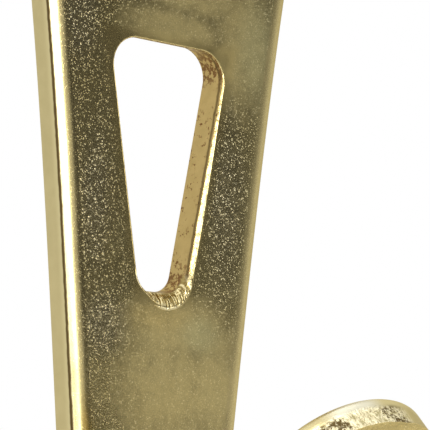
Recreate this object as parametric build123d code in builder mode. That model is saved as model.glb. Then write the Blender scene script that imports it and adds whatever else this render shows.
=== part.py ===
"""Picture hook: one strip of sheet steel, blanked, punched and folded.

A tapering plate lies flat against the wall.  Its wide head folds forward over
three slanting nails, and its narrow foot curls forward into a round-ended hook.

Frame: millimetres, +X across the plate, -Y out of the wall, +Z up.  The origin
is on the plate's back face, on its centre line, where the hook's curl begins.
"""

from build123d import *
import os
from math import cos, radians, sin, tan

# ---- the sheet ----------------------------------------------------------------
thickness = 1.6          # sheet gauge
outline_roll = 0.5       # rounding that blanking draws along the outline's front
slot_roll = 0.3          # the same around the slot
hole_roll = 0.15         # the same around each nail hole

# ---- the plate ----------------------------------------------------------------
plate_height = 39.0      # from the hook's bend line to the head's bend line
neck_width = 9.56        # plate width at the hook's bend line
neck_lean = 5.9          # lean of the plate's sides there, in degrees
waist_width = 15.36      # plate width where the sides begin to sweep out
waist_lean = 9.0         # lean of the sides there, in degrees
sweep_height = 10.5      # from there up to the shoulders, where the head is widest
shoulder_drop = 4.5      # from the head's bend line down to the shoulders
head_width = 27.1        # full width of the head and its flap

# ---- the slot, a tall wedge with round corners, as it opens in the front ---------
slot_drop = 3.88         # from the waist down to the slot's flat top edge
slot_height = 12.2       # from that edge down to the foot
slot_width = 7.44        # width at the top edge, between the sides produced
slot_lean = 10.6         # lean of each side, in degrees
slot_corner = 1.4        # radius of the two top corners
slot_foot_corner = 1.0   # radius of the two corners at the foot
slot_slant = 8.5         # how far the punch leans: its path climbs towards the back

# ---- the hook -----------------------------------------------------------------
hook_radius = 5.0        # inside radius of the curl
lip_lean = 45.0          # angle between the lip and the plate, in degrees
lip_length = 8.87        # straight length of the lip, up to its tip
lip_width = 8.7          # width of the lip, which ends in a half circle

# ---- the head, its flap and the nail line ---------------------------------------
head_radius = 1.6        # inside radius of the head's fold
nail_slope = 45.0        # angle between the nails and the plate, in degrees
flap_length = 7.2        # straight length of the flap
flap_corner = 2.2        # radius of the flap's free corners
nail_hole = 2.3          # diameter of the nail holes
nail_pitch = 7.6         # distance from one nail to the next
nail_count = 3
nail_setback = 3.6       # from the end of the head's fold to the nail holes

# ---- worked out from the sizes above --------------------------------------------
front = -thickness                      # the plate's front face
shoulder_level = plate_height - shoulder_drop
waist_level = shoulder_level - sweep_height
slot_top = waist_level - slot_drop
slot_foot = slot_top - slot_height
slot_foot_width = slot_width - 2 * slot_height * tan(radians(slot_lean))
neck = (neck_width / 2, 0)
waist = (waist_width / 2, waist_level)
shoulder = (head_width / 2, shoulder_level)
lip_radius = lip_width / 2
curl_start = (lip_radius, -hook_radius)
curl_underside = -hook_radius - thickness
hook_centre = (front - hook_radius, 0)
head_centre = (front - head_radius, plate_height)
quarter_turn = 90
hook_turn = 2 * quarter_turn - lip_lean
flap_turn = quarter_turn + nail_slope
touching = 0.001                        # how close counts as lying on a surface


def facing(angle):
    """A direction in the side view, `angle` degrees round from the wall towards up."""
    return Vector(0, cos(radians(angle)), sin(radians(angle)))


# The lip's plane is its inner face, and its own Y runs up the lip.
lip_plane = Plane(
    origin=Vector(0, *hook_centre) + facing(-hook_turn) * hook_radius,
    x_dir=(1, 0, 0),
    z_dir=facing(-hook_turn),
)

# The flap's plane is its inner face.  Its normal runs up the nails, out of the
# wall, and its own Y runs back towards the fold.
flap_plane = Plane(
    origin=Vector(0, *head_centre) + facing(flap_turn) * head_radius,
    x_dir=(1, 0, 0),
    z_dir=facing(flap_turn),
)

# The nails' centre lines run from the flap's holes to the middle of the plate,
# where a slanting nail needs a hole that is longer than it is wide.
nail_entry = flap_plane.from_local_coords(Vector(0, -nail_setback, 0))
nail_level = nail_entry.Z - (front / 2 - nail_entry.Y) / tan(radians(nail_slope))
nail_slot_height = nail_hole / sin(radians(nail_slope)) + thickness / tan(radians(nail_slope))

# The skin that met the blanking press first, seen from the side: the front of
# the plate, the inside of the curl and lip, and the inside of the fold and flap.
with BuildLine() as skin:
    Line((front, 0), (front, plate_height))
    curl = CenterArc(hook_centre, hook_radius, 0, -hook_turn)
    PolarLine(curl @ 1, lip_length, direction=curl % 1)
    fold = CenterArc(head_centre, head_radius, 0, flap_turn)
    PolarLine(fold @ 1, flap_length, direction=fold % 1)


def side(start, start_lean, end, end_lean):
    """A side of the outline that leaves and arrives at the given leans."""
    third = (end[1] - start[1]) / 3
    Bezier(
        start,
        (start[0] + third * tan(radians(start_lean)), start[1] + third),
        (end[0] - third * tan(radians(end_lean)), end[1] - third),
        end,
    )


def bend(centre, radius, start_angle, turn):
    """The sheet's section round a bend, turning `turn` degrees about a centre."""
    inside = CenterArc(centre, radius, start_angle, turn)
    outside = CenterArc(centre, radius + thickness, start_angle, turn)
    Line(inside @ 0, outside @ 0)
    Line(inside @ 1, outside @ 1)


def on_skin(face):
    """Whether a face of the finished strip lies on that skin."""
    point = face.position_at(0.5, 0.5)
    return skin.line.distance_to(Vector(point.Y, point.Z)) < touching


def rims(strip):
    """The closed edges of the holes, where they open on that skin."""
    return ShapeList(rim for face in strip.faces().filter_by(on_skin) for rim in face.inner_wires())


def outline(strip):
    """The edges where that skin ends at the strip's own outline."""
    skin_faces = strip.faces().filter_by(on_skin)
    other_faces = strip.faces() - skin_faces
    return ShapeList(face.outer_wire() for face in skin_faces).edges() & other_faces.edges()


with BuildPart() as picture_hook:
    # The plate and the back quarter of the curl, as a wide band...
    with BuildSketch(Plane.YZ):
        Rectangle(thickness, plate_height, align=(Align.MAX, Align.MIN))
        with BuildLine():
            bend(hook_centre, hook_radius, 0, -quarter_turn)
        make_face()
    extrude(amount=head_width / 2, both=True)

    # ...trimmed to the outline of the blank.
    with BuildSketch(Plane.XZ):
        with BuildLine():
            Polyline((0, curl_underside), (lip_radius, curl_underside), curl_start)
            side(curl_start, 0, neck, neck_lean)
            side(neck, neck_lean, waist, waist_lean)
            side(waist, waist_lean, shoulder, 0)
            Polyline(shoulder, (shoulder[0], plate_height), (0, plate_height))
            mirror(about=Plane.YZ)
        make_face()
    extrude(amount=hook_radius + thickness, mode=Mode.INTERSECT)

    # The slot, pierced from the front by a punch that leans a little.
    with BuildSketch(Plane.XZ.offset(thickness)) as slot:
        with BuildLine():
            Polyline(
                (-slot_width / 2, slot_top),
                (slot_width / 2, slot_top),
                (slot_foot_width / 2, slot_foot),
                (-slot_foot_width / 2, slot_foot),
                close=True,
            )
        make_face()
        fillet(slot.vertices().group_by(Axis.Y)[0], radius=slot_foot_corner)
        fillet(slot.vertices().group_by(Axis.Y)[-1], radius=slot_corner)
    piercing = facing(slot_slant)
    extrude(amount=thickness / piercing.Y, dir=piercing, mode=Mode.SUBTRACT)

    # The holes where the nails pass through the plate.
    with BuildSketch(Plane.XZ):
        with Locations((0, nail_level)):
            with GridLocations(nail_pitch, 0, nail_count, 1):
                SlotOverall(nail_slot_height, nail_hole, rotation=quarter_turn)
    extrude(amount=thickness, mode=Mode.SUBTRACT)

    # The head's fold, and the flap with its nail holes.
    with BuildSketch(Plane.YZ):
        with BuildLine():
            bend(head_centre, head_radius, 0, flap_turn)
        make_face()
    extrude(amount=head_width / 2, both=True)
    with BuildSketch(flap_plane) as flap:
        Rectangle(head_width, flap_length, align=(Align.CENTER, Align.MAX))
        fillet(flap.vertices().group_by(Axis.Y)[0], radius=flap_corner)
        with Locations((0, -nail_setback)):
            with GridLocations(nail_pitch, 0, nail_count, 1):
                Circle(nail_hole / 2, mode=Mode.SUBTRACT)
    extrude(amount=thickness)

    # The rest of the curl, and the lip with its round end.
    with BuildSketch(Plane.YZ):
        with BuildLine():
            bend(hook_centre, hook_radius, -quarter_turn, quarter_turn - hook_turn)
        make_face()
    extrude(amount=lip_radius, both=True)
    with BuildSketch(lip_plane):
        Rectangle(lip_width, lip_length - lip_radius, align=(Align.CENTER, Align.MIN))
        with Locations((0, lip_length - lip_radius)):
            Circle(lip_radius)
    extrude(amount=thickness)

    # The press draws the edges of its skin round, holes first, outline last.
    nail_rims = rims(picture_hook).filter_by(lambda rim: rim.center().Z > slot_top)
    fillet(nail_rims.edges(), radius=hole_roll)
    slot_rim = rims(picture_hook).filter_by(lambda rim: rim.center().Z < slot_top)
    fillet(slot_rim.edges(), radius=slot_roll)
    fillet(outline(picture_hook), radius=outline_roll)

picture_hook.part.label = "picture_hook"

os.makedirs("parts", exist_ok=True)
export_step(picture_hook.part, "parts/picture_hook.step")
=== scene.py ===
# %% [markdown]
# # A picture hook, pressed from one strip of plated steel
# The real hook starts as a flat strip.  A press cuts the outline, pierces a wedge-shaped
# slot and the nail holes, folds the head over the nails, and curls the foot up into a hook.
# This lesson makes it in that order: a flat blank first, then the holes, then the soft
# edges that the press draws, and the two bends last.  The CAD model is the fixed frame,
# so a size is either read from its box or is one of the hook's own named sizes.

# %% Load the frame
from math import cos, pi, radians, sin, tan

import bpy
from mathutils import Matrix, Vector, noise


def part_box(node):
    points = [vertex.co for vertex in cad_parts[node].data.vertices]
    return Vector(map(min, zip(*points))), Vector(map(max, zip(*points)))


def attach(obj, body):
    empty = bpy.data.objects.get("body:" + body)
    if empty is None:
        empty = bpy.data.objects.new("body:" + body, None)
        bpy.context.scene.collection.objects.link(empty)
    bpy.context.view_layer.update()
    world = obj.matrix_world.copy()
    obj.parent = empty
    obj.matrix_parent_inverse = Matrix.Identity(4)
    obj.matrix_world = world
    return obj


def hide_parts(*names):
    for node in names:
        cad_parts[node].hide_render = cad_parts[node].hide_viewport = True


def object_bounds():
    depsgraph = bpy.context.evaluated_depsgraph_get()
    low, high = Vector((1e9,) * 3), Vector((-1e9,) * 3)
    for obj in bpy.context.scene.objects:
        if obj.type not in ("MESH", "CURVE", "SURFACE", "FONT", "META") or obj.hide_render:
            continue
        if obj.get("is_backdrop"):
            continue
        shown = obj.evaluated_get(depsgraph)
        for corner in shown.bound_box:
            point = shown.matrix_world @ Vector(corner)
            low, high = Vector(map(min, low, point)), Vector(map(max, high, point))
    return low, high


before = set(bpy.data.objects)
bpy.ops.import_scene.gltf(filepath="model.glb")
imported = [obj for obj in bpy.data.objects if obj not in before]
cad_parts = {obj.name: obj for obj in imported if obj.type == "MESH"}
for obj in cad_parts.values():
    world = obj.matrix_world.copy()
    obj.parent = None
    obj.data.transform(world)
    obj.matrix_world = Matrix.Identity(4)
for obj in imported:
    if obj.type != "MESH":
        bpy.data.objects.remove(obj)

mm = 0.001
cad_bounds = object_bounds()
low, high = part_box("picture_hook")
print("CAD box in mm:", [round(v / mm, 2) for v in (*low, *high)])

# %% [markdown]
# ## The camera
# A maker's close view: a long lens a hand's width away, a little below the middle of the
# plate and off to its left, so that the sheet's thickness shows.  The camera is made
# first, because it tells which parts of the hook need the finest work.

# %% Camera
turn, rise, tilt = radians(-40.91), radians(-7.82), radians(1.557)
distance = 111.976 * mm
target = Vector((3.084, -1.62, 12.031)) * mm
towards_camera = Vector((sin(turn) * cos(rise), -cos(turn) * cos(rise), sin(rise)))
across = Vector((0, 0, 1)).cross(towards_camera).normalized()
upward = towards_camera.cross(across)
tilted_across = cos(tilt) * across + sin(tilt) * upward
tilted_upward = cos(tilt) * upward - sin(tilt) * across
bpy.ops.object.camera_add(location=(0, 0, 0))
camera = bpy.context.object
camera.name = "camera"
place = Matrix((tilted_across, tilted_upward, towards_camera)).transposed().to_4x4()
place.translation = target + towards_camera * distance
camera.matrix_world = place
camera.data.sensor_width = 36
camera.data.lens = 192.56
camera.data.clip_start = 1 * mm
bpy.context.scene.camera = camera
print("camera stands at", [round(v / mm, 1) for v in place.translation])

# %% [markdown]
# ## Sizes
# The blank is drawn in millimetres and shrunk to metres at the end, which keeps the
# numbers easy to read.  Lengths along the strip are measured on its front skin, which
# becomes the inside of both bends: a bend of radius r uses r times its angle of strip.

# %% Sizes of the strip
thickness = 1.6
bend_angle = radians(135)
head_radius = 1.6
hook_radius = -low.z / mm - thickness
plate_height = high.z / mm - head_radius - thickness
half_head = high.x / mm
flap_length = 7.2
flap_corner = 2.2
lip_length = 8.87
lip_radius = 4.35

curl_strip = hook_radius * bend_angle
fold_strip = head_radius * bend_angle
tip_level = -curl_strip - lip_length
flap_end = plate_height + fold_strip + flap_length
print("the flat strip is", round(flap_end - tip_level, 2), "mm long")

# %% [markdown]
# ## The blank
# The outline is one closed line: a round tip, sides that widen slowly and then sweep out
# to the head, and two round corners.  A Bezier curve is the natural tool, as a drawing
# program's pen would be: one half is listed from tip to head and mirrored, and the curve
# is made a mesh, filled, and pushed back through the thickness of the sheet.

# %% Knots of a drawn line
circle_handle = 0.5523      # a quarter circle's handle, as a share of its radius


def knot(x, level, handle_in=(0, 0), handle_out=(0, 0)):
    """A point of a drawn line, with its two handles."""
    return Vector((x, level)), Vector(handle_in), Vector(handle_out)


def mirrored(knots):
    """The other half of a line, drawn on from the end of the first half."""
    flip = Matrix(((-1, 0), (0, 1)))
    return [(flip @ point, flip @ away, flip @ near) for point, near, away in reversed(knots)]


print("a quarter circle needs handles of", circle_handle, "of its radius")

# %% Drawing and thickening
same_place = 0.00001        # points closer than this are one point


def only(piece):
    """Make the piece the only one selected, and the active one."""
    bpy.ops.object.select_all(action="DESELECT")
    piece.select_set(True)
    bpy.context.view_layer.objects.active = piece


def drawn(name, knots, steps):
    """A closed flat face inside a Bezier line, on the plane y = 0."""
    bpy.ops.object.select_all(action="DESELECT")
    bpy.ops.curve.primitive_bezier_curve_add(location=(0, 0, 0))
    painted_dark_line = bpy.context.object
    painted_dark_line.name = name
    spline = painted_dark_line.data.splines[0]
    spline.bezier_points.add(len(knots) - 2)
    spline.use_cyclic_u = True
    spline.resolution_u = steps
    for end, (point, near, away) in zip(spline.bezier_points, knots):
        end.handle_left_type = end.handle_right_type = "FREE"
        end.co = (point.x, 0, point.y)
        end.handle_left = (point.x + near.x, 0, point.y + near.y)
        end.handle_right = (point.x + away.x, 0, point.y + away.y)
    bpy.ops.object.convert(target="MESH")
    face = bpy.context.object
    bpy.ops.object.mode_set(mode="EDIT")
    bpy.ops.mesh.select_all(action="SELECT")
    bpy.ops.mesh.remove_doubles(threshold=same_place)
    bpy.ops.mesh.edge_face_add()
    bpy.ops.object.mode_set(mode="OBJECT")
    return face


def thicken(face, start, depth):
    """Push a flat face back through a depth, from the level y = start."""
    only(face)
    bpy.ops.object.mode_set(mode="EDIT")
    bpy.ops.mesh.select_all(action="SELECT")
    bpy.ops.transform.translate(value=(0, start, 0))
    bpy.ops.mesh.extrude_region_move(TRANSFORM_OT_translate={"value": (0, depth, 0)})
    bpy.ops.mesh.select_all(action="SELECT")
    bpy.ops.mesh.normals_make_consistent(inside=False)
    bpy.ops.object.mode_set(mode="OBJECT")


print("points closer than", same_place, "mm are merged")

# %% The outline's sides
def leaning_side(stations):
    """Knots up a side, from (half width, level, lean in degrees) at each station."""
    knots = []
    for i, (x, level, lean) in enumerate(stations):
        below = (level - stations[i - 1][1]) / 3 if i else 0
        above = (stations[i + 1][1] - level) / 3 if i + 1 < len(stations) else 0
        slope = Vector((tan(radians(lean)), 1))
        knots.append(knot(x, level, -slope * below, slope * above))
    return knots


tip_start = (lip_radius, tip_level + lip_radius, 0)
curl_start = (lip_radius, -hook_radius * pi / 2, 0)
neck = (4.78, 0, 5.9)
waist = (7.68, 24, 9)
shoulder = (half_head, 34.5, 0)
corner_start = (half_head, flap_end - flap_corner, 0)
right_side = leaning_side([tip_start, curl_start, neck, waist, shoulder, corner_start])
# The first knot ends the round tip, and the last one starts the flap's round corner.
right_side[0][1].y = -circle_handle * lip_radius
right_side[-1][2].y = circle_handle * flap_corner
flap_edge = [knot(half_head - flap_corner, flap_end, (circle_handle * flap_corner, 0))]
tip = [knot(0, tip_level, (-circle_handle * lip_radius, 0), (circle_handle * lip_radius, 0))]
half = right_side + flap_edge
outline = tip + half + mirrored(half)
print("outline drawn through", len(outline), "knots")

# %% [markdown]
# ## Too thick at first
# Every edge that the press cuts on its way in is drawn down into a soft roll, wider than
# it is deep.  A bevel makes equal widths and depths, so the blank is made too thick by
# that proportion, bevelled while it is thick, and pressed to its true gauge after.  The
# holes' rolls are nearly as deep as wide, so the blank starts only a fifth too thick.

# %% Blank
slot_stretch = 1.2          # width of the slot's roll, over its depth
outline_steps, slot_steps, nail_steps = 56, 28, 12
blank_depth = thickness * slot_stretch
blank = drawn("picture_hook_strip", outline, outline_steps)
thicken(blank, 0, blank_depth)
strip = blank.data
print("blank:", len(strip.vertices), "points")

# %% [markdown]
# ## Slot and nail holes
# Punches are drawn like the outline, from corners with radii, and cut through with a
# Boolean, as the real ones are pushed through.  The slot's punch leaned a little, so its
# upper wall climbs towards the back and only one side wall catches the eye.

# %% Rounded corners
def rounded(corners, radii):
    """Knots of a closed outline with straight sides and a round at each corner."""
    knots = []
    for i, (corner, radius) in enumerate(zip(corners, radii)):
        here = Vector(corner)
        back = (Vector(corners[i - 1]) - here).normalized()
        on = (Vector(corners[(i + 1) % len(corners)]) - here).normalized()
        swing = pi - back.angle(on)
        cut = radius * tan(swing / 2)
        handle = 4 / 3 * tan(swing / 4) * radius
        knots.append(knot(*(here + back * cut), (0, 0), -back * handle))
        knots.append(knot(*(here + on * cut), -on * handle, (0, 0)))
    return knots


square = [(0, 1), (0, 0), (1, 0), (1, 1)]
print("a square with round corners takes", len(rounded(square, [0.2] * 4)), "knots")

# %% Punches
reach = 0.5                 # how far a punch stands out of the sheet on both sides


def pierce(punch):
    """Cut the punch out of the blank and put it away."""
    cut = blank.modifiers.new("pierced", "BOOLEAN")
    cut.operation = "DIFFERENCE"
    cut.solver = "EXACT"
    cut.object = punch
    only(blank)
    bpy.ops.object.modifier_apply(modifier=cut.name)
    bpy.data.objects.remove(punch)


print("a punch is", round(blank_depth + 2 * reach, 2), "mm long")

# %% Slot
slot_top, slot_foot = 20.0, 7.92
slot_width, slot_lean = 7.4, radians(10.6)
foot_slant, top_slant = tan(radians(8.5)), tan(radians(14.5))   # the punch's climb
slot_corner, slot_foot_corner = 1.4, 1.0
foot_width = slot_width - 2 * (slot_top - slot_foot) * tan(slot_lean)
slot_corners = [
    (-slot_width / 2, slot_top),
    (-foot_width / 2, slot_foot),
    (foot_width / 2, slot_foot),
    (slot_width / 2, slot_top),
]
slot_radii = [slot_corner, slot_foot_corner, slot_foot_corner, slot_corner]
slot_punch = drawn("slot_punch", rounded(slot_corners, slot_radii), slot_steps)
thicken(slot_punch, -reach, blank_depth + 2 * reach)
for point in slot_punch.data.vertices:
    height = (point.co.z - slot_foot) / (slot_top - slot_foot)
    slant = foot_slant + (top_slant - foot_slant) * height
    point.co.z += point.co.y * slant / slot_stretch
pierce(slot_punch)
print("slot is", round(foot_width, 2), "mm wide at its foot")

# %% Nail holes
nail_radius, nail_pitch, nail_setback = 1.15, 7.6, 3.6
nearly_round = 0.999        # keeps the knots of neighbouring corners apart
plate_nail_level, plate_nail_height = 31.509, 4.853
flap_nail_level = flap_end - flap_length + nail_setback
plate_row = (plate_nail_level, plate_nail_height)
flap_row = (flap_nail_level, 2 * nail_radius)
nail_radii = [nearly_round * nail_radius] * 4
for nail in (-1, 0, 1):
    middle = nail * nail_pitch
    for level, height in (plate_row, flap_row):
        lower, upper = level - height / 2, level + height / 2
        left, right = middle - nail_radius, middle + nail_radius
        corners = [(left, upper), (left, lower), (right, lower), (right, upper)]
        punch = drawn("nail_punch", rounded(corners, nail_radii), nail_steps)
        thicken(punch, -reach, blank_depth + 2 * reach)
        pierce(punch)
print("pierced blank:", len(strip.vertices), "points")

# %% [markdown]
# ## Rolled edges
# Bevel weights say how wide each edge's roll is.  The front rims of the holes get narrow
# rolls, but the slot's foot is drawn down in a wide bright scoop, where the punch dragged
# the metal in.  The back keeps only a hair of rounding, as a burr knocked flat.

# %% Widths of the slot's roll
widest_scoop = 0.8          # width of the roll in the scoop at the slot's foot
scoop_middle = 0.2          # how far the scoop lies off the centre line


def eased(start, end, value):
    """0 at the start and 1 at the end, with soft ends."""
    share = min(max((value - start) / (end - start), 0), 1)
    return share * share * (3 - 2 * share)


def slot_roll(spot):
    """The roll's width round the slot: thin at the top, widest in the scoop at the foot."""
    down_the_sides = eased(slot_top - 0.3, slot_foot + 2.5, spot.z)
    side = 0.1 + (0.17 if spot.x > 0 else 0.06) * down_the_sides
    at_foot = eased(slot_foot + 1.3, slot_foot + 0.2, spot.z)
    fall = 0.26 if spot.x > scoop_middle else 0.325
    scoop = widest_scoop - fall * (spot.x - scoop_middle) ** 2
    return side + at_foot * max(scoop - side, 0)


for level in (slot_top, slot_foot):
    roll = slot_roll(Vector((1, 0, level)))
    print("the slot's roll at level", level, "is", round(roll, 2), "mm wide")

# %% Bevel weights
def weigh(width_at, widest):
    """Give each sharp rim its roll, as a share of the widest one."""
    upright = [face for face in strip.polygons if abs(face.normal.y) < 0.5]
    walls = {key for face in upright for key in face.edge_keys}
    weights = strip.attributes.get("bevel_weight_edge")
    weights = weights or strip.attributes.new("bevel_weight_edge", "FLOAT", "EDGE")
    rims = 0
    for edge in strip.edges:
        one, other = (strip.vertices[i].co for i in edge.vertices)
        level_rim = abs(one.y - other.y) < 10 * same_place
        width = width_at((one + other) / 2) if level_rim and edge.key in walls else 0
        weights.data[edge.index].value = width / widest
        rims += width > 0
    print("rims rolled:", rims)


def roll_edges(width_at, widest, segments, profile):
    """Bevel the rims by their weights."""
    weigh(width_at, widest)
    bevel = blank.modifiers.new("rolled", "BEVEL")
    bevel.limit_method = "WEIGHT"
    bevel.offset_type = "OFFSET"
    bevel.width = widest
    bevel.segments = segments
    bevel.profile = profile
    bevel.use_clamp_overlap = False
    only(blank)
    bpy.ops.object.modifier_apply(modifier=bevel.name)


print("edges to choose from:", len(strip.edges))

# %% Rolls round the holes
hole_back_roll, nail_roll = 0.06, 0.2


def in_slot(spot):
    """Whether a spot is on the rim or the wall of the slot."""
    return abs(spot.x) < slot_width / 2 + 0.5 and slot_foot - 1 < spot.z < slot_top + 1


def in_nail_hole(spot):
    """Whether a spot is on the rim or the wall of a nail hole."""
    beside = min(abs(spot.x - nail * nail_pitch) for nail in (-1, 0, 1)) < nail_radius + 0.1
    in_plate = abs(spot.z - plate_nail_level) < plate_nail_height / 2 + 0.1
    return beside and (in_plate or abs(spot.z - flap_nail_level) < nail_radius + 0.1)


def hole_roll(spot):
    """Width of the roll at a spot on the rim of a hole."""
    if spot.y > blank_depth / 2:
        return hole_back_roll if in_slot(spot) or in_nail_hole(spot) else 0
    if in_slot(spot):
        return slot_roll(spot)
    return nail_roll if in_nail_hole(spot) else 0


roll_edges(hole_roll, widest_scoop, segments=8, profile=0.42)
print("with rolled holes:", len(strip.vertices), "points")

# %% Roll round the outline
outline_roll, outline_roll_depth, outline_back_roll = 1.25, 0.47, 0.07
outline_stretch = outline_roll / outline_roll_depth
for point in strip.vertices:
    point.co.y *= outline_stretch / slot_stretch
blank_depth = thickness * outline_stretch


def edge_roll(spot):
    """Width of the roll at a spot on the outline: soft in front, a hair at the back."""
    if in_slot(spot) or in_nail_hole(spot):
        return 0
    return outline_roll if spot.y < blank_depth / 2 else outline_back_roll


roll_edges(edge_roll, outline_roll, segments=12, profile=0.6)
print("with its rolled outline:", len(strip.vertices), "points")

# %% [markdown]
# ## Back to the true gauge
# The thickness was stretched for the bevels, because a roll on pressed sheet is wider
# than it is deep.  Pressing the sheet back to its gauge flattens the rolls to match.

# %% True gauge
for point in strip.vertices:
    point.co.y = point.co.y / outline_stretch - thickness
depths = [point.co.y for point in strip.vertices]
print("gauge:", round(max(depths) - min(depths), 3), "mm")

# %% [markdown]
# ## Cuts where the strip bends
# A face can't bend by itself, so the strip is sliced across wherever it will.

# %% Bend cuts
def slice_at(point, direction):
    """Cut the selected faces along a plane."""
    bpy.ops.mesh.bisect(plane_co=point, plane_no=direction, threshold=same_place)


only(blank)
bpy.ops.object.mode_set(mode="EDIT")
curl_slices, fold_slices = 36, 24
curl_cuts = (0, -curl_strip, curl_slices)
fold_cuts = (plate_height, fold_strip, fold_slices)
for start, length, slices in (curl_cuts, fold_cuts):
    for i in range(slices + 1):
        bpy.ops.mesh.select_all(action="SELECT")
        slice_at((0, 0, start + length * i / slices), (0, 0, 1))
bpy.ops.object.mode_set(mode="OBJECT")
print("sliced:", len(strip.vertices), "points")

# %% [markdown]
# ## Cuts through the nail holes
# One large face with holes in it can fill in wrongly when it is split into triangles.  A
# few cuts through and between the holes of the flap leave only simple faces, and they
# don't change its shape.

# %% Cuts through the nail holes
def on_flap(face):
    """Whether a face is on the flap, past the fold."""
    return face.center.z > plate_height + fold_strip


clear_of_holes = 2          # how far from the nails' middles the level cuts run
cut_levels = [flap_nail_level + away for away in (-clear_of_holes, 0, clear_of_holes)]
hole_cuts = [((0, 0, level), (0, 0, 1)) for level in cut_levels]
hole_cuts += [((half * nail_pitch / 2, 0, 0), (1, 0, 0)) for half in (-2, -1, 0, 1, 2)]
bpy.ops.object.mode_set(mode="EDIT")
bpy.ops.mesh.select_mode(type="FACE")
bpy.ops.object.mode_set(mode="OBJECT")
for spot, direction in hole_cuts:
    for face in strip.polygons:
        face.select = on_flap(face)
    bpy.ops.object.mode_set(mode="EDIT")
    slice_at(spot, direction)
    bpy.ops.object.mode_set(mode="OBJECT")
print("with cuts through the nail holes:", len(strip.vertices), "points")

# %% [markdown]
# ## The torn edge of the lip
# A press cuts cleanly only part of the way; the rest of the thickness tears.  On the
# round lip the tear was left as it came: a band of small bright facets and pits below
# the smooth cut.  Its wall gets a fine net of slices here, and the points are pushed in
# once their flat places are stored.

# %% Net on the lip's wall
torn_from = tip_level + 2 * lip_radius
net_start, net_step, net_slices = 0.55, 0.07, 14     # depths below the front, in mm


def lip_wall(face):
    """Whether a face is on the cut wall of the lip."""
    return face.center.z < torn_from and abs(face.normal.y) < 0.5


only(blank)
for face in strip.polygons:
    face.select = lip_wall(face)
bpy.ops.object.mode_set(mode="EDIT")
bpy.ops.mesh.select_mode(type="FACE")
bpy.ops.object.mode_set(mode="OBJECT")
for i in range(net_slices):
    depth = -thickness + net_start + net_step * i
    for face in strip.polygons:
        face.select = lip_wall(face)
    bpy.ops.object.mode_set(mode="EDIT")
    slice_at((0, depth, 0), (0, 1, 0))
    bpy.ops.object.mode_set(mode="OBJECT")
print("with the lip's net:", len(strip.vertices), "points")

# %% [markdown]
# ## Where each spot was on the flat strip
# The finish follows the sheet round its bends, so each point remembers where it lay on
# the flat strip: across, through and along it.  A second value marks the sheared walls,
# and a third the edges of the holes.

# %% Flat place and walls
def remember(name, kind, values):
    """Store one value for each point of the strip."""
    stored = strip.attributes.new(name, kind, "POINT")
    stored.data.foreach_set("vector" if kind == "FLOAT_VECTOR" else "value", values)


spots = [Vector(point.co) for point in strip.vertices]
remember("flat", "FLOAT_VECTOR", [v for p in spots for v in (p.x, p.y + thickness, p.z)])
on_wall = [float(abs(point.normal.y) < 0.6) for point in strip.vertices]
remember("wall", "FLOAT", on_wall)
remember("hole_wall", "FLOAT", [float(in_slot(p) or in_nail_hole(p)) for p in spots])
print("points on cut walls:", int(sum(on_wall)), "of", len(spots))

# %% [markdown]
# ## Tearing the lip
# The tear starts part of the way through the sheet, wanders, and dies out towards one
# side of the lip.  Points of the torn wall are pushed in by small amounts: a net of cells
# gives the facets, and a finer noise breaks them up.

# %% How torn each spot is
clean_cut = 0.62            # depth of the smooth cut, before the sheet tears


def tear_at(spot):
    """How torn the lip's wall is at a flat spot: 0 for a clean cut, 1 for torn."""
    if spot.z > torn_from:
        return 0
    depth = spot.y + thickness + 0.06 * noise.noise(spot * 2.5)
    through = eased(clean_cut, clean_cut + 0.18, depth)
    return through * eased(1.0, 0.4, spot.x) * eased(torn_from, torn_from - 1, spot.z)


tears = [tear_at(spot) if spot.y > 0.5 - thickness else 0 for spot in spots]
remember("torn", "FLOAT", tears)
print("torn points:", sum(torn > 0.5 for torn in tears))

# %% Tear
deepest = 0
for point, spot, torn in zip(strip.vertices, spots, tears):
    if not torn:
        continue
    near, far = noise.voronoi(spot * 3.2)[0][:2]
    facet = 0.1 * near + 0.02 * (far - near)
    pit = max(torn * (0.03 + facet + 0.03 * noise.noise(spot * 9)), 0)
    deepest = max(deepest, pit)
    out = Vector((spot.x, 0, spot.z - tip_level - lip_radius))
    out = out.normalized() if out.z < 0 else Vector((1 if spot.x > 0 else -1, 0, 0))
    point.co -= out * pit
print("deepest pit:", round(deepest, 2), "mm")

# %% [markdown]
# ## The two bends
# The head folds forward over the nails and the foot curls forward into the hook, both by
# the same angle.  Simple Deform bends round the origin of a helper object, which stands
# on the inside skin, so that skin keeps its length as the plan of the strip assumed.

# %% Bends
def bend(name, start, length, radius):
    """Bend the strip forward from a level, over a length of it, round a radius."""
    levels = [point.co.z for point in strip.vertices]
    foot, reach_up = min(levels), max(levels) - min(levels)
    bpy.ops.object.select_all(action="DESELECT")
    bpy.ops.object.empty_add(location=(0, -thickness, start))
    former = bpy.context.object
    bender = blank.modifiers.new(name, "SIMPLE_DEFORM")
    bender.deform_method = "BEND"
    bender.deform_axis = "X"
    bender.origin = former
    bender.limits = [(level - foot) / reach_up for level in sorted((start, start + length))]
    bender.angle = -abs(length) / radius
    only(blank)
    bpy.ops.object.modifier_apply(modifier=bender.name)
    bpy.data.objects.remove(former)


bend("head_fold", plate_height, fold_strip, head_radius)
bend("hook_curl", 0, -curl_strip, hook_radius)
for axis, name in enumerate("xyz"):
    reached = [round(point.co[axis], 3) for point in strip.vertices]
    print("bent strip along", name, "from", min(reached), "to", max(reached), "mm")

# %% [markdown]
# ## To metres, and smooth
# The finished strip shrinks to metres.  Smooth shading stops at sharp angles, and
# weighted normals keep the large faces flat beside their rolls, so reflections stay true.

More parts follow.
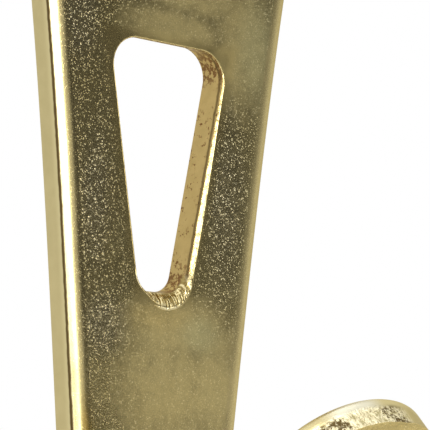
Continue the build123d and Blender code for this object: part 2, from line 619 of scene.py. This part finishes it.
# %% To metres, smooth
only(blank)
bpy.ops.object.mode_set(mode="EDIT")
bpy.ops.mesh.select_all(action="SELECT")
bpy.ops.transform.resize(value=(mm, mm, mm), center_override=(0, 0, 0))
bpy.ops.mesh.normals_make_consistent(inside=False)
bpy.ops.object.mode_set(mode="OBJECT")
sharp_angle = radians(40)
bpy.ops.object.shade_smooth_by_angle(angle=sharp_angle)
weighted = blank.modifiers.new("weighted", "WEIGHTED_NORMAL")
weighted.weight = 100
weighted.keep_sharp = True
bpy.ops.object.modifier_apply(modifier=weighted.name)
print("triangles:", sum(len(face.vertices) - 2 for face in strip.polygons))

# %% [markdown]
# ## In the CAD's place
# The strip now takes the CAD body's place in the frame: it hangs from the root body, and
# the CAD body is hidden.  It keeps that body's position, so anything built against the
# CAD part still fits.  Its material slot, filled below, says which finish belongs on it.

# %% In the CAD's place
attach(blank, "root")
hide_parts("picture_hook")
print("the strip stands in for picture_hook, in the finish brass_plate")

# %% [markdown]
# ## A finish made of nodes
# The real hook is steel with a thin yellow plating.  Plating is metal all through, so one
# metal shader carries the whole finish, and the rest is colour, roughness and relief.
# Each helper adds one node and hands back its output, so later cells read like sums.

# %% Material
brass = bpy.data.materials.new("brass_plate")
brass.use_nodes = True
tree = brass.node_tree
shader = tree.nodes["Principled BSDF"]
shader.inputs["Metallic"].default_value = 1.0
grazing_gold = (0.92, 0.84, 0.6, 1)
shader.inputs["Specular Tint"].default_value = grazing_gold
strip.materials.clear()
strip.materials.append(brass)


def node(kind, **settings):
    """Add a shader node of one kind, with its settings."""
    made = tree.nodes.new("ShaderNode" + kind)
    for name, value in settings.items():
        setattr(made, name, value)
    return made


def put(socket, value):
    """Feed a socket from another node, or give it a plain value."""
    if isinstance(value, bpy.types.NodeSocket):
        tree.links.new(value, socket)
    else:
        socket.default_value = value


print("material:", brass.name)

# %% Sums
def maths(operation, a, b=0.5, c=0.5, clamp=False):
    """One operation on up to three values."""
    made = node("Math", operation=operation, use_clamp=clamp)
    for socket, value in zip(made.inputs, (a, b, c)):
        put(socket, value)
    return made.outputs[0]


def product(*values):
    """All the values multiplied together."""
    result = values[0]
    for value in values[1:]:
        result = maths("MULTIPLY", result, value)
    return result


def rest(value, share=1.0):
    """What is left of 1 when a share of the value is taken away."""
    return maths("MULTIPLY_ADD", value, -share, 1.0)


def ramp(value, start, end):
    """A soft step from 0 at the start to 1 at the end."""
    made = node("MapRange", interpolation_type="SMOOTHSTEP")
    for socket, given in zip(made.inputs, (value, start, end)):
        put(socket, given)
    return made.outputs[0]


print("nodes before the finish starts:", len(tree.nodes))

# %% [markdown]
# ## Where on the strip
# Marks on sheet metal come from the flat strip and from the tools that touched it, so the
# finish is laid out on the flat strip: across it, through it and along it.  The stored
# places make the marks follow the metal round its bends.

# %% Place on the strip
def stored(name, output="Fac"):
    """A value that the mesh remembers for each of its points."""
    return node("Attribute", attribute_name=name).outputs[output]


place_on_strip = stored("flat", "Vector")
split = node("SeparateXYZ")
put(split.inputs[0], place_on_strip)
across_strip, through, along = split.outputs
cut_wall, in_hole, torn = stored("wall"), stored("hole_wall"), stored("torn")
print("the mesh remembers:", [named.name for named in strip.attributes if named.name[0] != "."])

# %% Noise on the strip
def clouds(scale, detail=2.0, roughness=0.5, vector=None):
    """Cloudy noise, around a half; the scale is in clouds per millimetre."""
    made = node("TexNoise")
    put(made.inputs["Vector"], vector or place_on_strip)
    made.inputs["Scale"].default_value = scale
    made.inputs["Detail"].default_value = detail
    made.inputs["Roughness"].default_value = roughness
    return made.outputs["Fac"]


def stretched(scale, lean=0.0):
    """Places scaled by different amounts across, through and along, and turned."""
    made = node("Mapping")
    put(made.inputs["Vector"], place_on_strip)
    made.inputs["Rotation"].default_value = (0, radians(lean), 0)
    made.inputs["Scale"].default_value = scale
    return made.outputs[0]


print("nodes so far:", len(tree.nodes))

# %% [markdown]
# ## Calm and coarse patches
# Where the press tools slid over the sheet, they smoothed its grain; where they never
# touched, it stayed coarse and dull.  Oval patches with frayed edges mark both kinds on
# the plate, and elsewhere a slow noise decides.

# %% One patch
def patch(x, level, width, height):
    """1 at the middle of an oval patch of the strip, and 0 outside it."""
    dx = maths("DIVIDE", maths("SUBTRACT", across_strip, x), width)
    dz = maths("DIVIDE", maths("SUBTRACT", along, level), height)
    far = maths("SQRT", maths("ADD", product(dx, dx), product(dz, dz)))
    return ramp(far, 1.35, 0.25)


on_plate = product(ramp(along, -1.0, 1.0), ramp(along, 25.0, 23.0))
off_plate = product(ramp(clouds(0.16, 2), 0.5, 0.62), rest(on_plate))
print("nodes so far:", len(tree.nodes))

# %% Patches
def patches(places, elsewhere):
    """Several patches joined, with edges frayed by cloudy noise."""
    joined = elsewhere
    for place in places:
        joined = maths("MAXIMUM", joined, patch(*place))
    fray = maths("MULTIPLY_ADD", clouds(0.9, 4, 0.65), 2.0, -1.0)
    frayed = product(fray, maths("MULTIPLY_ADD", joined, 0.6, 0.2))
    return maths("ADD", joined, frayed, clamp=True)


# Each place is across the strip, along it, and the patch's half width and half height.
calm_places = [
    (1.5, 22.9, 4.6, 1.7),
    (0.2, 20.9, 3.6, 1.1),
    (4.7, 20.7, 2.3, 3.9),
    (1.0, 6.2, 3.8, 1.9),
    (0.6, 3.6, 3.6, 3.3),
    (3.3, 4.0, 1.8, 3.6),
    (0.0, -17.0, 7.0, 6.0),
]
coarse_places = [
    (3.8, 12.8, 1.3, 4.8),
    (-5.6, 20.6, 1.2, 2.4),
    (-3.6, 6.2, 1.6, 1.5),
    (-4.3, 12.0, 1.0, 3.5),
]
calm = patches(calm_places, off_plate)
coarse = patches(coarse_places, 0.0)
print("calm patches:", len(calm_places), "and coarse ones:", len(coarse_places))

# %% [markdown]
# ## Rolled edges and the rim of the slot
# The rolled edges were rubbed smooth by the die, and so was a narrow border beside the
# slot.  A roll starts as soon as the place is a little way into the sheet, which the
# stored depth tells.

# %% Rolled and drawn-in places
rolled = maths("MAXIMUM", ramp(through, 0.002, 0.012), cut_wall)
rolled = product(rolled, ramp(through, thickness - 0.001, thickness - 0.01))
half_slot_at_zero = slot_width / 2 - slot_top * tan(slot_lean)
half_slot = maths("MULTIPLY_ADD", along, tan(slot_lean), half_slot_at_zero)
from_slot = maths("SUBTRACT", maths("ABSOLUTE", across_strip), half_slot)
from_slot = maths("MAXIMUM", from_slot, maths("SUBTRACT", along, slot_top))
from_slot = maths("MAXIMUM", from_slot, maths("SUBTRACT", slot_foot, along))
border = 0.75               # width of the rubbed border beside the slot
drawn_in = ramp(from_slot, border, 0.1)
print("the border beside the slot is", border, "mm wide")

# %% [markdown]
# ## Grain
# Plating that is laid on rolled steel grows in tiny crystals.  A fine cloudy grain makes
# the dull ground, and small round flecks, a few cells of a net, make the crystals that
# catch the light in the relief; their brightening and pale tint below are painted glints.
# Both fade where the sheet is calm, rolled or drawn in.

# %% Grain
def grains(scale, share, size):
    """Small round flecks: a share of the cells of a net, each raised at its middle."""
    cells = node("TexVoronoi", feature="F1")
    put(cells.inputs["Vector"], place_on_strip)
    cells.inputs["Scale"].default_value = scale
    tone = node("SeparateColor")
    put(tone.inputs[0], cells.outputs["Color"])
    chosen = ramp(tone.outputs[0], 1 - share, 1 - share * 0.5)
    return product(chosen, ramp(cells.outputs["Distance"], size, size * 0.4))


coarse_flecks, fine_flecks = grains(11.0, 0.12, 0.5), grains(19.0, 0.22, 0.5)
crystal_flecks_and_glints = maths("MAXIMUM", coarse_flecks, fine_flecks)
fine_grain = clouds(14.0, 2, 0.6)
grain_share = maths("MULTIPLY_ADD", coarse, 0.6, 0.55)
grain_share = product(grain_share, rest(calm, 0.55), rest(rolled, 0.7), rest(drawn_in, 0.8))
print("nodes so far:", len(tree.nodes))

# %% [markdown]
# ## Colour of the plating
# The plating is a greenish gold: warmer where it lies thick on smooth metal, greyer where
# the sheet is coarse.  The grain then shades it, so it never reads as a flat paint.

# %% Mixing colours
def blend_colour(share, first, second, how="MIX"):
    """Mix two colours, given as sockets or as red, green and blue."""
    made = node("Mix", data_type="RGBA", blend_type=how)
    put(made.inputs[0], share)
    for socket, colour in zip((made.inputs[6], made.inputs[7]), (first, second)):
        put(socket, colour if isinstance(colour, bpy.types.NodeSocket) else (*colour, 1))
    return made.outputs[2]


green_gold, yellow_gold = (0.53, 0.45, 0.215), (0.60, 0.48, 0.20)
plating = blend_colour(clouds(0.35, 3), green_gold, yellow_gold)
print("the plating runs from", green_gold, "to", yellow_gold)

# %% Colour of the plating
calm_gold, warm_gold, cool_gold = (0.62, 0.505, 0.22), (0.66, 0.51, 0.20), (0.55, 0.53, 0.28)
dull_gold, rubbed_gold = (0.48, 0.405, 0.215), (0.64, 0.51, 0.21)
rolled_gold = (0.66, 0.54, 0.25)
warm = patch(-0.4, 7.0, 2.2, 0.9)
cool = maths("MAXIMUM", patch(2.4, 6.1, 1.3, 1.0), patch(5.8, 20.5, 1.6, 3.2))
for where, share, tone in (
    (calm, 0.8, calm_gold),
    (warm, 0.6, warm_gold),
    (cool, 0.4, cool_gold),
    (coarse, 0.9, dull_gold),
    (drawn_in, 0.9, rubbed_gold),
    (rolled, 0.8, rolled_gold),
):
    plating = blend_colour(product(where, share), plating, tone)
print("nodes so far:", len(tree.nodes))

# %% Shading by the grain, with painted glints
darkest, painted_glint_tone = 0.45, (0.80, 0.77, 0.60)
blotches = maths("MULTIPLY_ADD", clouds(2.2, 3, 0.6), 1.4, -0.7)
shade = maths("ADD", maths("MULTIPLY_ADD", fine_grain, 2.4, -1.25), blotches)
shade = maths("MULTIPLY_ADD", shade, grain_share, 1.0)
# Painted glints: the flecks are made brighter than the grain around them.
shade = maths("ADD", shade, product(crystal_flecks_and_glints, grain_share, 1.2))
shade = maths("MAXIMUM", shade, darkest)
grey = node("CombineColor")
for socket in grey.inputs[:3]:
    put(socket, shade)
plating = blend_colour(1.0, plating, grey.outputs[0], "MULTIPLY")
# Painted glints: the flecks are tinted pale, as if they caught the light.
plating = blend_colour(product(crystal_flecks_and_glints, grain_share, 0.7), plating, painted_glint_tone)
print("the grain shades the plating down to", darkest)

# %% [markdown]
# ## Walls left by the punch
# A wall cut by a blanking tool is burnished first and a little duller below.  The walls
# of the holes are browner.  Rust pits have started in them, most at the slot's foot and
# top corners, where the plating is thinnest.

# %% Colour of the cut walls
wall_dark, wall_light = (0.50, 0.42, 0.205), (0.60, 0.51, 0.265)
burnished, lip_highlight_cream = (0.64, 0.55, 0.29), (0.74, 0.70, 0.54)
sheared = blend_colour(clouds(1.2, 3), wall_dark, wall_light)
sheared = blend_colour(ramp(through, 0.9, 0.5), sheared, burnished)
# Painted highlight: a pale patch on the lip's burnished band, where it would shine.
painted_lip_highlight = product(ramp(across_strip, -0.2, -1.3), ramp(across_strip, -3.2, -2.3))
painted_lip_highlight = product(painted_lip_highlight, ramp(along, -13.0, -16.0))
sheared = blend_colour(painted_lip_highlight, sheared, lip_highlight_cream)
punched_dark, punched_light = (0.43, 0.31, 0.115), (0.56, 0.41, 0.165)
punched = blend_colour(clouds(1.6, 3), punched_dark, punched_light)
walls = blend_colour(in_hole, sheared, punched)
print("nodes so far:", len(tree.nodes))

# %% Rust pits
rust = (0.20, 0.105, 0.04)
corners_of_slot = maths("MAXIMUM", ramp(along, 10.4, 8.8), ramp(along, 18.0, 19.2))
pit_level = maths("MULTIPLY_ADD", corners_of_slot, -0.12, 0.58)
pits = ramp(clouds(3.4, 4, 0.7), pit_level, maths("ADD", pit_level, 0.05))
pitted = maths("MAXIMUM", ramp(clouds(0.5, 2), 0.38, 0.5), corners_of_slot)
pits = product(pits, pitted, in_hole, rolled)
walls = blend_colour(pits, walls, rust)
print("nodes so far:", len(tree.nodes))

# %% [markdown]
# ## The torn band on the lip
# Torn metal breaks into small facets that run through the sheet.  Their colour is painted
# light and shade, bright on some facets and dark on others, and the crevices and two deep
# hollows between them are painted dark, as painted shade.

# %% Colour of the torn band
# Painted shade: two deep hollows where the crevices are painted darker.
painted_dark_hollows = maths("MAXIMUM", patch(-2.9, -19.5, 0.7, 3.0), patch(0.0, -20.6, 0.75, 2.0))
dark_share = maths("MULTIPLY_ADD", painted_dark_hollows, 0.17, 0.33)
crevices = clouds(4.0, 4, 0.75)
open_metal = ramp(crevices, maths("SUBTRACT", dark_share, 0.03), maths("ADD", dark_share, 0.07))
facets = clouds(1.0, 3, 0.65, stretched((10.0, 4.5, 10.0)))
# Painted shade in the crevices, and painted light and shade on the facets.
crevice_painted_shade = (0.13, 0.09, 0.035)
facet_painted_shade, facet_painted_highlight = (0.46, 0.40, 0.21), (0.82, 0.75, 0.52)
facets_painted_lit_and_shaded = blend_colour(ramp(facets, 0.36, 0.56), facet_painted_shade, facet_painted_highlight)
torn_tone = blend_colour(open_metal, crevice_painted_shade, facets_painted_lit_and_shaded)
walls = blend_colour(torn, walls, torn_tone)
colour = blend_colour(cut_wall, plating, walls)
print("nodes so far:", len(tree.nodes))

# %% [markdown]
# ## The scoop at the slot's foot
# The leaning punch dragged the metal down at the foot of the slot.  The drag leaves fine
# scores that lean with the punch; their bright and dark bands are a painted sheen, and the
# bright rim where they begin is a painted highlight.  A thin dark line is painted round the
# rest of the slot's roll, a painted dark reflection.

# %% Scores in the scoop
streaks = clouds(1.0, 1, 0.5, stretched((9.0, 1.5, 1.2), 14))
in_scoop = product(in_hole, ramp(along, 9.2, 8.4))
in_scoop = product(in_scoop, ramp(through, 0.7, 0.5), ramp(through, 0.002, 0.02))
# The scores are real relief; their bright and dark bands are a painted sheen.
score_painted_shade, score_painted_sheen = (0.33, 0.25, 0.09), (0.92, 0.80, 0.45)
scores_painted_sheen = blend_colour(ramp(streaks, 0.44, 0.56), score_painted_shade, score_painted_sheen)
colour = blend_colour(in_scoop, colour, scores_painted_sheen)
print("nodes so far:", len(tree.nodes))

# %% Painted dark line and painted rim highlight
painted_dark_rim_tone, painted_rim_highlight_tone = (0.20, 0.15, 0.06), (0.95, 0.84, 0.50)
# A painted dark reflection: a thin dark line in the slot's roll, a little in from the front.
painted_dark_rim_place = maths("MULTIPLY_ADD", clouds(1.6, 3), 0.05, 0.015)
painted_dark_rim_line = ramp(maths("ABSOLUTE", maths("SUBTRACT", through, painted_dark_rim_place)), 0.018, 0.006)
painted_dark_rim_line = product(painted_dark_rim_line, in_hole, ramp(along, 20.5, 18.0))
colour = blend_colour(product(painted_dark_rim_line, 0.75), colour, painted_dark_rim_tone)
# Painted highlight: a bright line on the lower left of the scoop's rim.
painted_rim_highlight = product(ramp(through, 0.035, 0.02), ramp(through, 0.002, 0.006), in_hole)
painted_rim_highlight = product(painted_rim_highlight, ramp(along, 8.9, 8.6), ramp(across_strip, 1.4, 0.4))
colour = blend_colour(painted_rim_highlight, colour, painted_rim_highlight_tone)
print("nodes so far:", len(tree.nodes))

# %% [markdown]
# ## The line where the wall begins
# Where the roll ends and the cut wall begins, a narrow dark brown line is painted round the
# strip: a painted reflection of dark surroundings that the turning roll would mirror there.
# It wanders a little, and it is missing on the scoop and the lip.

# %% Painted dark line
wander = maths("MULTIPLY_ADD", clouds(2.2, 3), 0.12, 0.34)
wander = maths("MULTIPLY_ADD", in_hole, -0.13, wander)
off_line = maths("ABSOLUTE", maths("SUBTRACT", through, wander))
painted_dark_line = product(ramp(off_line, 0.13, 0.04), rest(in_hole, 0.2))
painted_dark_line = product(painted_dark_line, ramp(along, -9.0, -5.0), rest(in_scoop))
# The painted reflection's dark brown.
painted_reflection_brown = (0.12, 0.08, 0.03)
colour = blend_colour(painted_dark_line, colour, painted_reflection_brown)
put(shader.inputs["Base Color"], colour)
print("the colour takes", len(tree.nodes), "nodes")

# %% [markdown]
# ## Roughness
# Calm metal scatters light more widely than the crystals do, rolled edges are the most
# polished, and walls and torn metal are rougher.

# %% Roughness
crystal_roughness = 0.24
calm_extra, rolled_extra, wall_extra, torn_extra = 0.16, -0.06, 0.1, 0.15
roughness = maths("MULTIPLY_ADD", calm, calm_extra, crystal_roughness)
roughness = maths("MULTIPLY_ADD", rolled, rolled_extra, roughness)
roughness = maths("MULTIPLY_ADD", cut_wall, wall_extra, roughness)
roughness = maths("MULTIPLY_ADD", torn, torn_extra, roughness, clamp=True)
put(shader.inputs["Roughness"], roughness)
print("flat metal's roughness:", crystal_roughness, "to", crystal_roughness + calm_extra)

# %% [markdown]
# ## Relief
# Bumps of a few hundredths of a millimetre are too small to model, so they only tilt the
# light: crystals and pits, facets of the torn band, scores of the scoop, and the long slow
# waves of any rolled sheet.

# %% Relief
bump_height, wave_height = 0.018 * mm, 0.06 * mm
height = product(maths("MULTIPLY_ADD", fine_grain, 0.45, product(crystal_flecks_and_glints, 0.65)), grain_share)
height = maths("ADD", height, product(pits, -0.8))
height = maths("ADD", height, product(facets, torn, 3.5))
height = maths("ADD", height, product(streaks, in_scoop, 8.0))
height = maths("ADD", height, product(clouds(2.6, 3), in_hole, rolled, 2.5))
waves = node("Bump")
waves.inputs["Distance"].default_value = wave_height
put(waves.inputs["Height"], clouds(0.28, 1))
fine = node("Bump")
fine.inputs["Distance"].default_value = bump_height
put(fine.inputs["Height"], height)
put(fine.inputs["Normal"], waves.outputs[0])
put(shader.inputs["Normal"], fine.outputs[0])
print("the finish has", len(tree.nodes), "nodes")

# %% [markdown]
# ## Cards round the hook
# Metal shows what stands round it, so the lighting of a shiny part is mostly a choice of
# what it mirrors.  Curved cards stand where each face of the hook looks.  A bright one
# draws the white line on the left roll, and a dark one, with dim edges, makes the front
# deep gold instead of white.

# %% Glow
def glowing(name, strength):
    """A material that only glows."""
    made = bpy.data.materials.new(name)
    made.use_nodes = True
    nodes, links = made.node_tree.nodes, made.node_tree.links
    glow = nodes.new("ShaderNodeEmission")
    glow.inputs["Strength"].default_value = strength
    links.new(glow.outputs[0], nodes["Material Output"].inputs["Surface"])
    return made


def only_mirrored(name, made, strength):
    """Let a card be seen in the metal alone: it lights nothing else and casts no shadow."""
    made.name = name
    made.data.materials.append(glowing(name, strength))
    made.visible_camera = made.visible_diffuse = made.visible_shadow = False
    made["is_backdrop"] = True


middle_of_hook = Vector((0, 0, 12 * mm))
print("cards stand round", [round(v / mm, 1) for v in middle_of_hook])

# %% Curved cards
def card(name, turns, rises, strength, distance):
    """A curved card round the hook, between two headings and two heights in degrees."""
    bpy.ops.object.select_all(action="DESELECT")
    bpy.ops.mesh.primitive_grid_add(x_subdivisions=24, y_subdivisions=8, size=1)
    made = bpy.context.object
    for point in made.data.vertices:
        heading = radians(turns[0] + (turns[1] - turns[0]) * (point.co.x + 0.5))
        up = radians(rises[0] + (rises[1] - rises[0]) * (point.co.y + 0.5))
        out = Vector((sin(heading) * cos(up), -cos(heading) * cos(up), sin(up)))
        point.co = middle_of_hook + out * distance
    only_mirrored(name, made, strength)


near, far = 0.40, 0.45      # metres from the hook
in_front = (-24, 36)        # heights that the front face can mirror
card("softbox", (-84, -1), (-12, 26), 6.5, far)
card("dusk_left", (-1, 9), in_front, 1.3, near)
card("dim_left", (9, 20), in_front, 0.65, near)
card("dark_flag", (20, 47), in_front, 0.05, near)
card("dim_right", (47, 55), in_front, 0.26, near)
card("dusk_right", (55, 64), in_front, 0.5, near)
card("grey_right", (56, 140), (-25, 30), 0.72, far)
card("grey_left", (-165, -118), (-20, 30), 0.9, far)

# %% [markdown]
# ## A lamp above
# The tip of the lip and the scoop look straight up.  A small bright panel overhead gives
# them their pale shine.

# %% Top light
panel_width, panel_depth = 0.2, 0.3
panel_left, panel_forward, panel_height = 0.04, 0.03, 0.5
bpy.ops.object.select_all(action="DESELECT")
bpy.ops.mesh.primitive_plane_add(size=1, location=(0, 0, 0))
top_light = bpy.context.object
for point in top_light.data.vertices:
    point.co.x = point.co.x * panel_width - panel_left
    point.co.y = point.co.y * panel_depth - panel_forward
    point.co.z = panel_height
only_mirrored("top_light", top_light, 2.1)
print("the panel hangs", panel_height, "m up")

# %% [markdown]
# ## Floor and surroundings
# The hook stands on white paper in a white room.  The room is white to the eye and in
# every mirror, and its plain light on the paper leaves the soft shadow under the hook.

# %% Floor
bpy.ops.object.select_all(action="DESELECT")
bpy.ops.mesh.primitive_plane_add(size=3, location=(0, 0, low.z))
floor = bpy.context.object
floor.name = "floor"
paper = bpy.data.materials.new("floor")
paper.use_nodes = True
paper_shader = paper.node_tree.nodes["Principled BSDF"]
paper_white, paper_roughness = (0.92, 0.91, 0.89, 1), 0.9
paper_shader.inputs["Base Color"].default_value = paper_white
paper_shader.inputs["Roughness"].default_value = paper_roughness
floor.data.materials.append(paper)
floor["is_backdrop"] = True
print("the floor lies at", round(low.z / mm, 2), "mm")

# %% White room
room_light = 1.0
room = bpy.data.worlds.new("studio")
bpy.context.scene.world = room
room.use_nodes = True
room_tree = room.node_tree
seen_by = room_tree.nodes.new("ShaderNodeLightPath")
seen = seen_by.outputs["Is Camera Ray"]
for kind in ("Is Glossy Ray", "Is Transmission Ray"):
    either = room_tree.nodes.new("ShaderNodeMath")
    either.operation = "MAXIMUM"
    room_tree.links.new(seen, either.inputs[0])
    room_tree.links.new(seen_by.outputs[kind], either.inputs[1])
    seen = either.outputs[0]
level = room_tree.nodes.new("ShaderNodeMapRange")
room_tree.links.new(seen, level.inputs["Value"])
level.inputs["To Min"].default_value = room_light
level.inputs["To Max"].default_value = 1.0
backdrop = room_tree.nodes["Background"]
backdrop.inputs["Color"].default_value = (1, 1, 1, 1)
room_tree.links.new(level.outputs[0], backdrop.inputs["Strength"])
bpy.context.scene.view_settings.view_transform = "Standard"
print("white room, lit at", room_light)

# %% [markdown]
# ## Sizes, before and after
# The boxes of the CAD part and of the finished strip are printed side by side. The
# finished strip has to keep inside the CAD part's box.

# %% Sizes
new_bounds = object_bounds()
sizes = {"cad": [list(v) for v in cad_bounds], "visual": [list(v) for v in new_bounds]}
for kind, (lowest, highest) in sizes.items():
    print(kind, "reaches in mm:", [round(v / mm, 3) for v in (*lowest, *highest)])
